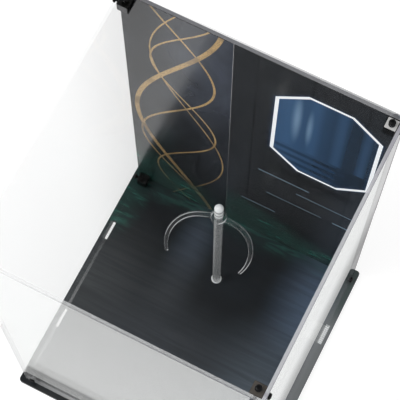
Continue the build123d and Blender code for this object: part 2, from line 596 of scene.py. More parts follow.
@dataclass(frozen=True)
class BlackAcrylic:
    """Solid black acrylic with satin sawn faces, for the corner cubes, some with faces painted paler as a
    painted reflection.

    Attributes:
        name: The material's name.
        tone: The sawn faces' colour.
        painted_reflection_across: The axis of the two faces that are painted paler, as a painted reflection.
        wear_and_reflection: The colour of those faces: a painted reflection of the white surroundings.
        hole: The middle of the cube and of the dark ring about its screw, a painted reflection of the screw
            head, where it has one.
        head_reflection_radius: The dark ring's radius.
        mirror: The faces' specular level.
        dust: The dust's colour.
        dust_share: How strongly the dust covers the faces.
    """

    name: str
    tone: Colour
    painted_reflection_across: Across
    wear_and_reflection: Colour
    hole: tuple[float, float, float] | None = None
    head_reflection_radius: float = 0.0026
    mirror: float = 0.12
    dust: Colour = from_screen(86, 84, 82)
    dust_share: float = 0.07

    def beyond_head_reflection(self, wiring: Wiring) -> Socket:
        """Say how far each place lies beyond the dark ring about the screw, a painted reflection of its
        head.

        Args:
            wiring: The material's tree.

        Returns:
            0 within the ring and 1 beyond it.
        """
        offsets = [
            wiring.sum("SUBTRACT", place, middle)
            for axis, (place, middle) in enumerate(zip(wiring.axes(wiring.place), self.hole))
            if axis != self.painted_reflection_across.value
        ]
        blur = 0.2 * MM
        return wiring.step(wiring.distance(*offsets), self.head_reflection_radius - blur, self.head_reflection_radius + blur)

    def material(self) -> bpy.types.Material:
        """Make the black acrylic's material.

        Returns:
            The material.
        """
        wiring = Wiring(self.name)
        specks = wiring.step(wiring.grain(0.0009, 3), 0.55, 0.75)
        sawn = wiring.grain(0.0003, 2, (1, 12, 1))
        facing = wiring.axes(wiring.normal)[self.painted_reflection_across.value]
        # Faces across one axis get a painted reflection: a paler colour where the gloss mirrors white.
        painted_reflection_share = wiring.step(wiring.sum("ABSOLUTE", facing), 0.8, 0.95)
        # In a ring about the screw the pale painted reflection is left out: a painted dark reflection of the
        # screw head.
        if self.hole:
            painted_reflection_share = wiring.sum("MULTIPLY", painted_reflection_share, self.beyond_head_reflection(wiring))
        colour = wiring.blend(painted_reflection_share, self.tone, self.wear_and_reflection)
        colour = wiring.blend(wiring.sum("MULTIPLY", specks, self.dust_share), colour, self.dust)
        body = wiring.add("BsdfPrincipled")
        body.inputs["Specular IOR Level"].default_value = self.mirror
        wiring.feed(body.inputs["Base Color"], colour)
        wiring.feed(body.inputs["Roughness"], wiring.sum("ADD", wiring.sum("MULTIPLY", sawn, 0.2), 0.15))
        wiring.feed(body.inputs["Normal"], wiring.relief(sawn, 0.00004, 0.5))
        return wiring.finish(body.outputs[0])


@dataclass(frozen=True)
class BlackSteel:
    """Deep black oiled steel, mottled, for the screws.

    Attributes:
        name: The material's name.
        darkest: The mottling's darkest colour.
        palest: Its palest colour.
        mirror: The steel's specular level.
    """

    name: str
    darkest: Colour = from_screen(5, 5, 6)
    palest: Colour = from_screen(18, 18, 19)
    mirror: float = 0.12

    def material(self) -> bpy.types.Material:
        """Make the blackened steel's material.

        Returns:
            The material.
        """
        wiring = Wiring(self.name)
        mottle = wiring.grain(0.0007, 4)
        colour = wiring.blend(mottle, self.darkest, self.palest)
        body = wiring.add("BsdfPrincipled")
        body.inputs["Specular IOR Level"].default_value = self.mirror
        wiring.feed(body.inputs["Base Color"], colour)
        wiring.feed(body.inputs["Roughness"], wiring.sum("ADD", wiring.sum("MULTIPLY", mottle, 0.15), 0.1))
        wiring.feed(body.inputs["Normal"], wiring.relief(mottle, 0.00003, 0.6))
        return wiring.finish(body.outputs[0])


@dataclass(frozen=True)
class Print:
    """What the printed surfaces share: inks, the mist at the back, the coated sheet's gloss and a faint
    painted reflection.

    Attributes:
        name: The material's name.
        gloss: The coating's roughness.
        mirror: The coating's specular level.
        pale_and_glare: A faint painted reflection added to every ink, for the white surroundings that the
            top panel mirrors.
        mist_ink: The green mist's colour.
        glow_strength: How strongly the bright white ink glows.
    """

    name: str
    gloss: float = 0.12
    mirror: float = 0.5
    pale_and_glare: Colour = (0.0065, 0.0065, 0.0065, 1.0)
    mist_ink: Colour = from_screen(56, 128, 114)
    glow_strength: float = 0.3

    def mist(self, wiring: Wiring, reach: Socket, colour: Socket) -> Socket:
        """Lay green mist and the faint painted reflection over a colour.

        Args:
            wiring: The material's tree.
            reach: How thick the mist is, 0 to 1.
            colour: The colour under the mist.

        Returns:
            The colour with mist and the painted reflection.
        """
        wisps = wiring.step(wiring.grain(0.014, 8, (4.5, 1.2, 1), 1.6), 0.44, 0.66)
        strands = wiring.step(wiring.grain(0.0048, 4, (7, 1.2, 1), 0.8), 0.44, 0.58)
        wisps = wiring.sum("MULTIPLY", wisps, wiring.sum("MULTIPLY_ADD", strands, 0.85, 0.15))
        haze = wiring.sum("MULTIPLY", wiring.grain(0.11, 2, (2, 1, 1)), 0.25)
        share = wiring.sum("MULTIPLY", reach, wiring.sum("MULTIPLY_ADD", wisps, 0.8, haze))
        misted = wiring.blend(share, colour, self.mist_ink)
        # Every ink gets the same lift: a painted reflection of the white surroundings in the top panel.
        return wiring.blend(1.0, misted, self.pale_and_glare, "ADD")

    def patch(self, wiring: Wiring, axes: tuple[Socket, Socket], middle: tuple[float, float],
              reach: tuple[float, float]) -> Socket:
        """Make one soft, round patch.

        Args:
            wiring: The material's tree.
            axes: The places along the sheet's two directions.
            middle: The patch's middle.
            reach: How far it reaches each way.

        Returns:
            The patch, 1 in its middle and 0 outside.
        """
        across = wiring.sum("DIVIDE", wiring.sum("SUBTRACT", axes[0], middle[0]), reach[0])
        along = wiring.sum("DIVIDE", wiring.sum("SUBTRACT", axes[1], middle[1]), reach[1])
        return wiring.step(wiring.distance(along, across), 1.0, 0.0)

    def front_only(self, wiring: Wiring, colour: Socket, bare: Colour = BARE_BOARD) -> Socket:
        """Keep a colour on a board's front face, and leave its back and sides bare.

        Args:
            wiring: The material's tree.
            colour: The front face's colour.
            bare: The colour of the other faces.

        Returns:
            The colour of all faces.
        """
        front = wiring.sum("LESS_THAN", wiring.axes(wiring.normal)[Across.Y.value], -0.5)
        return wiring.blend(front, bare, colour)

    def sheet(self, wiring: Wiring, colour: Socket, glow: Socket | None = None) -> bpy.types.Material:
        """Finish a printed sheet in one colour pattern.

        Args:
            wiring: The material's tree.
            colour: The printed colour.
            glow: The bright white ink's colour, where it has some.

        Returns:
            The material.
        """
        peel = wiring.grain(0.004, 2)
        body = wiring.add("BsdfPrincipled")
        body.inputs["Specular IOR Level"].default_value = self.mirror
        wiring.feed(body.inputs["Base Color"], colour)
        wiring.feed(body.inputs["Roughness"], wiring.sum("MULTIPLY_ADD", peel, 0.04, self.gloss))
        wiring.feed(body.inputs["Normal"], wiring.relief(peel, 0.00002, 0.12))
        if glow:
            body.inputs["Emission Strength"].default_value = self.glow_strength
            wiring.feed(body.inputs["Emission Color"], glow)
        return wiring.finish(body.outputs[0])


@dataclass(frozen=True)
class Sheen:
    """A soft, round sheen on the floor print: a painted reflection, lighter ink that stands in for light
    mirrored by the glossy print.

    Attributes:
        middle: Its middle, across and along the base plate.
        reach: How far it reaches each way.
        ink: Its colour.
        share: How strongly it covers the print below it.
    """

    middle: tuple[float, float]
    reach: tuple[float, float]
    ink: Colour
    share: float = 1.0


@dataclass(frozen=True)
class FloorPrint(Print):
    """Dark, cloudy print on the base plate with black cut sides, painted sheens, and painted glare and light
    at its right.

    Attributes:
        sheens: The painted sheens of reflected light on the print.
        sides: The cut sides' colour.
        margin_start: Where the margin at the right starts, just inside the wall's outer face.
        margin_end: Where the margin ends.
        tab_middle: How far the middle of a tab's light lies from the plate's middle.
        tab_reach: Half the length of a tab's light.
        tab_end: Where a tab's light ends, away from the wall.
    """

    sheens: tuple[Sheen, ...] = (
        Sheen((-0.036, 0.072), (0.026, 0.062), from_screen(56, 65, 76)),
        Sheen((-0.036, 0.025), (0.034, 0.060), from_screen(52, 56, 60), 0.8),
        Sheen((0.098, 0.066), (0.055, 0.110), from_screen(72, 86, 104)),
        Sheen((0.090, -0.045), (0.095, 0.110), from_screen(80, 89, 98)),
        Sheen((-0.120, -0.010), (0.110, 0.115), from_screen(64, 67, 69)),
        Sheen((-0.020, -0.055), (0.110, 0.100), from_screen(62, 66, 71)),
    )
    sides: Colour = from_screen(26, 27, 28)
    margin_start: float = 0.1168
    margin_end: float = 0.1224
    tab_middle: float = 0.05
    tab_reach: float = 0.0105
    tab_end: float = 0.1196

    def clouds(self, wiring: Wiring) -> Socket:
        """Draw the clouds and paint the sheens of reflected light over them.

        Args:
            wiring: The material's tree.

        Returns:
            The colour.
        """
        x, y, _ = wiring.axes(wiring.place)
        clouds = wiring.step(wiring.grain(0.09, 5, (2.2, 1, 1), 0.8), 0.35, 0.7)
        colour = wiring.blend(clouds, from_screen(14, 18, 21), from_screen(24, 29, 34))
        streaks = wiring.step(wiring.grain(0.005, 4, (16, 1, 1), 0.6), 0.3, 0.7)
        # Each sheen is a painted reflection: lighter ink where light mirrors in the glossy print.
        for sheen in self.sheens:
            patch = self.patch(wiring, (x, y), sheen.middle, sheen.reach)
            strength = wiring.sum("MULTIPLY_ADD", streaks, 0.35, sheen.share - 0.25)
            colour = wiring.blend(wiring.sum("MULTIPLY", patch, strength), colour, sheen.ink)
        return colour

    def margin(self, wiring: Wiring, colour: Socket) -> Socket:
        """Lay the pale glare over the margin at the right of the clear wall.

        Args:
            wiring: The material's tree.
            colour: The colour without the glare.

        Returns:
            The colour with it.
        """
        x, y, _ = wiring.axes(wiring.place)
        inner = wiring.step(x, self.margin_start, self.margin_start + 0.6 * MM)
        share = wiring.sum("MULTIPLY", inner, wiring.step(x, self.margin_end, self.margin_end - 0.7 * MM))
        tone = wiring.blend(wiring.step(y, 0.05, 0.09), from_screen(130, 133, 134), from_screen(84, 94, 92))
        return wiring.blend(wiring.sum("MULTIPLY", share, 0.9), colour, tone)

    def tab_light(self, wiring: Wiring, colour: Socket) -> Socket:
        """Lay the light that falls through the right wall's tabs over the margin, in fine stripes.

        Args:
            wiring: The material's tree.
            colour: The colour without the light.

        Returns:
            The colour with it.
        """
        x, y, _ = wiring.axes(wiring.place)
        offset = wiring.sum("SUBTRACT", wiring.sum("ABSOLUTE", y), self.tab_middle)
        along = wiring.step(wiring.sum("ABSOLUTE", offset), self.tab_reach, self.tab_reach - 0.7 * MM)
        share = wiring.sum("MULTIPLY", along, wiring.step(x, self.tab_end, self.tab_end - 0.6 * MM))
        inner = wiring.step(x, self.margin_start, self.margin_start + 0.4 * MM)
        share = wiring.sum("MULTIPLY", share, inner)
        stripes = wiring.step(wiring.sum("PINGPONG", y, 1 * MM), 0.2 * MM, 0.8 * MM)
        light = wiring.blend(stripes, from_screen(238, 240, 241), from_screen(206, 210, 212))
        return wiring.blend(share, colour, light)

    def material(self) -> bpy.types.Material:
        """Make the base plate's material.

        Returns:
            The material.
        """
        wiring = Wiring(self.name)
        x, y, z = wiring.axes(wiring.place)
        corner = self.patch(wiring, (x, y), (-0.122, 0.090), (0.032, 0.055))
        edge = wiring.sum("MULTIPLY", wiring.step(y, 0.090, 0.118), 0.3)
        colour = self.mist(wiring, wiring.sum("MAXIMUM", corner, edge), self.clouds(wiring))
        colour = self.tab_light(wiring, self.margin(wiring, colour))
        top = wiring.step(z, 4.5 * MM, 4.9 * MM)
        return self.sheet(wiring, wiring.blend(top, self.sides, colour))


@dataclass(frozen=True)
class Wave:
    """One upright wave of gold ink.

    Attributes:
        middle: The place across the board that it swings about.
        swing: How far it swings.
        length: The height of one whole wave.
        start: The height at which it crosses its middle.
        width: The line's width.
    """

    middle: float
    swing: float
    length: float
    start: float
    width: float

    def line(self, wiring: Wiring) -> Socket:
        """Draw the wave.

        Args:
            wiring: The material's tree.

        Returns:
            The line, 0 to 1.
        """
        x, _, z = wiring.axes(wiring.place)
        turns = 2 * math.pi / self.length
        turn = wiring.sum("MULTIPLY", wiring.sum("SUBTRACT", z, self.start), turns)
        line = wiring.sum("MULTIPLY_ADD", wiring.sum("SINE", turn), self.swing, self.middle)
        offset = wiring.sum("ABSOLUTE", wiring.sum("SUBTRACT", x, line))
        slope = wiring.sum("MULTIPLY", wiring.sum("COSINE", turn), turns * self.swing)
        slant = wiring.sum("SQRT", wiring.sum("MULTIPLY_ADD", slope, slope, 1.0))
        return wiring.step(wiring.sum("DIVIDE", offset, slant), self.width * 0.55, self.width * 0.4)


@dataclass(frozen=True)
class WaveBoardPrint(Print):
    """Charcoal print of smoke and stone with stippled gold waves, on the left board.

    Attributes:
        waves: The waves.
    """

    waves: tuple[Wave, ...] = (
        Wave(-0.072, 0.036, 0.31, 0.22, 0.0022),
        Wave(-0.064, 0.030, 0.24, 0.13, 0.0018),
        Wave(-0.070, 0.041, 0.47, 0.31, 0.0048),
        Wave(-0.060, 0.034, 0.38, 0.04, 0.0014),
    )

    def smoke(self, wiring: Wiring) -> Socket:
        """Draw the smoke, with one brighter cloud and a dark foot.

        Args:
            wiring: The material's tree.

        Returns:
            The colour.
        """
        x, _, z = wiring.axes(wiring.place)
        smoke = wiring.step(wiring.grain(0.06, 7, (1, 1, 1.6), 1.0), 0.35, 0.7)
        colour = wiring.blend(smoke, from_screen(26, 29, 33), from_screen(50, 54, 61))
        cloud = self.patch(wiring, (x, z), (-0.028, 0.350), (0.090, 0.200))
        cloud = wiring.sum("MULTIPLY", cloud, wiring.sum("MULTIPLY_ADD", smoke, 0.4, 0.55))
        colour = wiring.blend(cloud, colour, from_screen(88, 94, 108))
        foot = wiring.sum("MULTIPLY", wiring.step(z, 0.19, 0.05), 0.85)
        return wiring.blend(foot, colour, from_screen(10, 16, 16))

    def material(self) -> bpy.types.Material:
        """Make the left board's material.

        Returns:
            The material.
        """
        wiring = Wiring(self.name)
        x, _, z = wiring.axes(wiring.place)
        lines: Feed = 0.0
        for wave in self.waves:
            lines = wiring.sum("MAXIMUM", lines, wave.line(wiring))
        stipple = wiring.step(wiring.grain(0.0012, 2), 0.40, 0.52)
        wear_and_reflection = wiring.sum("MULTIPLY", stipple, wiring.step(wiring.grain(0.03, 3), 0.36, 0.5))
        ink = wiring.sum("MULTIPLY", lines, wiring.sum("MULTIPLY_ADD", wear_and_reflection, 0.5, 0.5))
        rise = wiring.sum("MULTIPLY_ADD", wiring.step(z, 0.01, 0.16), 0.7, 0.3)
        ink = wiring.sum("MULTIPLY", ink, rise)
        deep_gold = from_screen(150, 112, 58)
        gold = wiring.blend(wiring.step(z, 0.08, 0.26), deep_gold, from_screen(214, 176, 116))
        gold = wiring.blend(wiring.sum("MULTIPLY", stipple, 0.35), gold, from_screen(240, 206, 150))
        colour = wiring.blend(ink, self.smoke(wiring), gold)
        bank = wiring.step(wiring.sum("MULTIPLY_ADD", x, 0.9, z), 0.035, -0.06)
        colour = self.mist(wiring, bank, colour)
        return self.sheet(wiring, self.front_only(wiring, colour))


@dataclass(frozen=True)
class ShortLine:
    """One thin, level, pale line on the right board.

    Attributes:
        start: Its left end.
        end: Its right end.
        height: Its height on the board.
        width: Its width.
    """

    start: float
    end: float
    height: float
    width: float

    def mark(self, wiring: Wiring) -> Socket:
        """Draw the line.

        Args:
            wiring: The material's tree.

        Returns:
            The line, 0 to 1.
        """
        x, _, z = wiring.axes(wiring.place)
        half = (self.end - self.start) / 2
        level = wiring.sum("ABSOLUTE", wiring.sum("SUBTRACT", z, self.height))
        across = wiring.sum("ABSOLUTE", wiring.sum("SUBTRACT", x, (self.start + self.end) / 2))
        inside = wiring.step(across, half, half - 1 * MM)
        return wiring.sum("MULTIPLY", inside, wiring.step(level, self.width * 0.6, self.width * 0.35))


@dataclass(frozen=True)
class PanelBoardPrint(Print):
    """Dark panelled print with one lit, blue, cut-cornered light field, on the right board.

    Attributes:
        field_x: The light field's middle across the board.
        field_z: The light field's middle height.
        field_half_width: Half the light field's width.
        field_half_height: Half the light field's height.
        field_cut: How far its corners are cut off.
        outline: The width of its white outline.
        slat_top: The height up to which the light field has level slats.
        lines: The short pale lines below the light field.
        holes_middle: The middle of the strip of small holes.
        holes_reach: How far the strip reaches each way.
        hole_pitch: The distance between two holes.
    """

    field_x: float = 0.062
    field_z: float = 0.292
    field_half_width: float = 0.044
    field_half_height: float = 0.078
    field_cut: float = 0.026
    outline: float = 0.0032
    slat_top: float = 0.262
    lines: tuple[ShortLine, ...] = (
        ShortLine(0.008, 0.058, 0.176, 0.0016),
        ShortLine(0.046, 0.106, 0.158, 0.0012),
        ShortLine(0.018, 0.074, 0.128, 0.0010),
        ShortLine(0.084, 0.108, 0.128, 0.0020),
        ShortLine(-0.006, 0.030, 0.086, 0.0012),
    )
    holes_middle: tuple[float, float] = (0.058, 0.198)
    holes_reach: tuple[float, float] = (0.040, 0.007)
    hole_pitch: float = 0.0025

    def edge_distance(self, wiring: Wiring) -> Socket:
        """Measure how far each place is outside the light field's outline.

        Args:
            wiring: The material's tree.

        Returns:
            The distance in metres, negative inside.
        """
        x, _, z = wiring.axes(wiring.place)
        across = wiring.sum("ABSOLUTE", wiring.sum("SUBTRACT", x, self.field_x))
        up = wiring.sum("ABSOLUTE", wiring.sum("SUBTRACT", z, self.field_z))
        sides = wiring.sum("SUBTRACT", across, self.field_half_width)
        ends = wiring.sum("SUBTRACT", up, self.field_half_height)
        reach = self.field_half_width + self.field_half_height - self.field_cut
        beyond = wiring.sum("SUBTRACT", wiring.sum("ADD", across, up), reach)
        corners = wiring.sum("MULTIPLY", beyond, math.sqrt(0.5))
        return wiring.sum("MAXIMUM", corners, wiring.sum("MAXIMUM", sides, ends))

    def seams(self, wiring: Wiring, pitch_x: float, pitch_z: float, width: float) -> Socket:
        """Draw the panels' dark seams.

        Args:
            wiring: The material's tree.
            pitch_x: The panels' width.
            pitch_z: The panels' height.
            width: The seams' width.

        Returns:
            The seams, 0 to 1.
        """
        x, _, z = wiring.axes(wiring.place)
        upright = wiring.sum("PINGPONG", x, pitch_x / 2)
        level = wiring.sum("PINGPONG", z, pitch_z / 2)
        near = wiring.sum("MINIMUM", upright, level)
        return wiring.step(near, width, width * 0.4)

    def panels(self, wiring: Wiring) -> Socket:
        """Draw the panels with their grime, dark foot and seams.

        Args:
            wiring: The material's tree.

        Returns:
            The colour.
        """
        _, _, z = wiring.axes(wiring.place)
        colour = wiring.blend(wiring.grain(0.05, 5), from_screen(32, 35, 38), from_screen(54, 56, 60))
        foot = wiring.sum("MULTIPLY", wiring.step(z, 0.16, 0.03), 0.6)
        colour = wiring.blend(foot, colour, from_screen(12, 17, 18))
        seams = wiring.sum("MULTIPLY", self.seams(wiring, 0.046, 0.062, 0.0012), 0.7)
        return wiring.blend(seams, colour, from_screen(6, 8, 10))

    def light_field(self, wiring: Wiring) -> Socket:
        """Draw what the light field holds: two beams, upright columns and level slats.

        Args:
            wiring: The material's tree.

        Returns:
            The colour.
        """
        x, _, z = wiring.axes(wiring.place)
        far_side = wiring.step(x, self.field_x - self.field_half_width, self.field_x + self.field_half_width)
        lit = wiring.blend(far_side, from_screen(62, 98, 138), from_screen(26, 38, 50))
        high_middle = (self.field_x - 0.026, self.field_z + 0.030)
        low_middle = (self.field_x - 0.014, self.field_z + 0.020)
        high_beam = self.patch(wiring, (x, z), high_middle, (0.006, 0.060))
        low_beam = self.patch(wiring, (x, z), low_middle, (0.004, 0.045))
        beams = wiring.sum("MULTIPLY", wiring.sum("MAXIMUM", high_beam, low_beam), 0.7)
        lit = wiring.blend(beams, lit, from_screen(150, 184, 216))
        low = wiring.step(z, self.slat_top + 1 * MM, self.slat_top - 1 * MM)
        slats = wiring.step(wiring.sum("PINGPONG", z, 6.5 * MM), 1 * MM, 5.5 * MM)
        slats = wiring.sum("MULTIPLY", slats, wiring.sum("MULTIPLY", low, 0.5))
        lit = wiring.blend(slats, lit, from_screen(16, 26, 40))
        columns = wiring.sum("PINGPONG", wiring.sum("ADD", x, 3 * MM), 11 * MM)
        columns = wiring.step(columns, 3 * MM, 10.5 * MM)
        columns = wiring.sum("MULTIPLY", columns, wiring.sum("MULTIPLY_ADD", low, -0.4, 0.45))
        return wiring.blend(columns, lit, from_screen(70, 108, 150))

    def perforations(self, wiring: Wiring) -> Socket:
        """Draw a strip of small round holes below the light field.

        Args:
            wiring: The material's tree.

        Returns:
            The holes, 0 to 1.
        """
        places = wiring.axes(wiring.place)
        inside: Feed = 1.0
        offsets = []
        for axis, middle, reach in zip((Across.X, Across.Z), self.holes_middle, self.holes_reach):
            place = places[axis.value]
            near = wiring.sum("ABSOLUTE", wiring.sum("SUBTRACT", place, middle))
            inside = wiring.sum("MULTIPLY", inside, wiring.step(near, reach + 0.5 * MM, reach))
            along = wiring.sum("SUBTRACT", place, middle - reach)
            along = wiring.sum("PINGPONG", along, self.hole_pitch)
            offsets.append(wiring.sum("SUBTRACT", along, self.hole_pitch / 2))
        hole = wiring.step(wiring.distance(*offsets), 1.1 * MM, 0.8 * MM)
        return wiring.sum("MULTIPLY", hole, inside)

    def material(self) -> bpy.types.Material:
        """Make the right board's material.

        Returns:
            The material.
        """
        wiring = Wiring(self.name)
        x, _, z = wiring.axes(wiring.place)
        distance = self.edge_distance(wiring)
        inside = wiring.step(distance, 0.4 * MM, -0.4 * MM)
        colour = wiring.blend(inside, self.panels(wiring), self.light_field(wiring))
        near = wiring.sum("ABSOLUTE", distance)
        halo = wiring.sum("MULTIPLY", wiring.step(near, 6 * MM, 0.0), 0.4)
        colour = wiring.blend(halo, colour, from_screen(52, 86, 130))
        rim = wiring.step(near, self.outline * 0.56, self.outline * 0.44)
        colour = wiring.blend(rim, colour, from_screen(252, 253, 255))
        marks: Feed = 0.0
        for line in self.lines:
            marks = wiring.sum("MAXIMUM", marks, line.mark(wiring))
        colour = wiring.blend(wiring.sum("MULTIPLY", marks, 0.8), colour, from_screen(150, 180, 200))
        colour = wiring.blend(self.perforations(wiring), colour, from_screen(8, 10, 12))
        rise = wiring.sum("MULTIPLY_ADD", x, 0.45, z)
        bank = wiring.sum("MULTIPLY", wiring.step(rise, 0.095, 0.045), 0.75)
        level = wiring.sum("ABSOLUTE", wiring.sum("SUBTRACT", z, 0.027))
        streak = wiring.step(level, 0.016, 0.002)
        colour = self.mist(wiring, wiring.sum("MAXIMUM", bank, streak), colour)
        glow = self.front_only(wiring, wiring.blend(rim, UNLIT, (0.9, 0.96, 1, 1)), UNLIT)
        return self.sheet(wiring, self.front_only(wiring, colour), glow)


class Picked(Enum):
    """The kind of mesh element that an edit works on."""

    FACE = "FACE"
    EDGE = "EDGE"


class Bench:
    """A workbench: short ways to pick and edit meshes with Blender's own operators."""

    @staticmethod
    def clear() -> None:
        """Deselect everything and leave nothing active."""
        for piece in bpy.context.scene.objects:
            piece.select_set(False)
        bpy.context.view_layer.objects.active = None

    @staticmethod
    def take(*pieces: bpy.types.Object) -> None:
        """Select only these pieces, the first one active.

        Args:
            pieces: The pieces to select.
        """
        Bench.clear()
        for piece in pieces:
            piece.select_set(True)
        bpy.context.view_layer.objects.active = pieces[0]

    @staticmethod
    @contextmanager
    def editing(piece: bpy.types.Object, picked: Picked, test: Callable[[object], bool]) -> Iterator[None]:
        """Edit a piece with some of its faces or edges selected.

        Args:
            piece: The piece.
            picked: Whether faces or edges are tested.
            test: Says whether an element is selected.
        """
        Bench.take(piece)
        bpy.ops.object.mode_set(mode="EDIT")
        bpy.ops.mesh.select_mode(type=picked.value)
        bpy.ops.mesh.select_all(action="DESELECT")
        mesh = bmesh.from_edit_mesh(piece.data)
        for element in mesh.faces if picked is Picked.FACE else mesh.edges:
            if test(element):
                element.select_set(True)
        mesh.select_flush_mode()
        bmesh.update_edit_mesh(piece.data)
        yield
        bpy.ops.object.mode_set(mode="OBJECT")

    @staticmethod
    def cylinder(name: str, sides: int, radius: float, low: float, high: float) -> bpy.types.Object:
        """Add an upright cylinder primitive on the world's axis.

        Args:
            name: The piece's name.
            sides: How many sides it has.
            radius: Its radius.
            low: The height of its lower end.
            high: The height of its upper end.

        Returns:
            The new piece.
        """
        Bench.clear()
        bpy.ops.mesh.primitive_cylinder_add(
            vertices=sides, radius=radius, depth=high - low, location=(0, 0, (low + high) / 2)
        )
        piece = bpy.context.object
        piece.name = name
        Bench.settle(piece)
        return piece

    @staticmethod
    def settle(piece: bpy.types.Object) -> None:
        """Move a piece's place into its mesh, so that its object stands at the origin.

        Args:
            piece: The piece.
        """
        piece.data.transform(piece.matrix_basis)
        piece.matrix_basis = Matrix.Identity(4)

    @staticmethod
    def shift(piece: bpy.types.Object, place: Vector) -> None:
        """Move a piece's mesh.

        Args:
            piece: The piece.
            place: How far to move it.
        """
        piece.data.transform(Matrix.Translation(place))

    @staticmethod
    def apply(piece: bpy.types.Object) -> None:
        """Apply all of a piece's modifiers.

        Args:
            piece: The piece.
        """
        Bench.take(piece)
        for modifier in list(piece.modifiers):
            bpy.ops.object.modifier_apply(modifier=modifier.name)

    @staticmethod
    def merged_copy(node: str, name: str) -> bpy.types.Object:
        """Copy a solid's mesh to a new piece and merge its loose triangles.

        Args:
            node: The solid's node.
            name: The new piece's name.

        Returns:
            The new piece.
        """
        piece = bpy.data.objects.new(name, frame["nodes"][node].data.copy())
        bpy.context.scene.collection.objects.link(piece)
        with Bench.editing(piece, Picked.FACE, lambda face: True):
            bpy.ops.mesh.remove_doubles(threshold=1e-6)
            bpy.ops.mesh.dissolve_limited(angle_limit=math.radians(1))
        bpy.ops.mesh.customdata_custom_splitnormals_clear()
        return piece

    @staticmethod
    def soften(piece: bpy.types.Object, width: float, segments: int, degrees: float) -> None:
        """Bevel a piece's sharp edges.

        Args:
            piece: The piece.
            width: The bevel's width.
            segments: How many steps it has.
            degrees: The angle from which an edge is sharp.
        """
        soft = piece.modifiers.new("soft edges", "BEVEL")
        soft.width = width
        soft.segments = segments
        soft.limit_method = "ANGLE"
        soft.angle_limit = math.radians(degrees)
        Bench.apply(piece)

    @staticmethod
    def smooth(piece: bpy.types.Object, degrees: float = 35) -> None:
        """Shade a piece smooth except at its sharp edges.

        Args:
            piece: The piece.
            degrees: The angle from which an edge stays sharp.
        """
        Bench.take(piece)
        bpy.ops.object.shade_smooth_by_angle(angle=math.radians(degrees))

    @staticmethod
    def dress(piece: bpy.types.Object, material: bpy.types.Material) -> None:
        """Give a piece one material.

        Args:
            piece: The piece.
            material: Its material.
        """
        if not piece.data.materials:
            piece.data.materials.append(material)
        for number, _ in enumerate(piece.material_slots):
            piece.material_slots[number].material = material


class Side(Enum):
    """The cover's five sides that carry screws: the word in its nodes' names, and the way it faces."""

    FRONT = ("front", (0, -1, 0))
    BACK = ("back", (0, 1, 0))
    LEFT = ("left", (-1, 0, 0))
    RIGHT = ("right", (1, 0, 0))
    TOP = ("top", (0, 0, 1))

    @property
    def word(self) -> str:
        """Give the side's word in node names."""
        return self.value[0]

    @property
    def outward(self) -> Vector:
        """Give the direction that the side faces."""
        return Vector(self.value[1])

    @property
    def sheet(self) -> str:
        """Give the name of the side's clear sheet."""
        return "top_panel" if self is Side.TOP else f"{self.word}_wall"


def middle_of(node: str) -> Vector:
    """Give the middle of a node's box.

    Args:
        node: The node's name.

    Returns:
        Its middle, in metres.
    """
    low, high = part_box(node)
    return (low + high) / 2


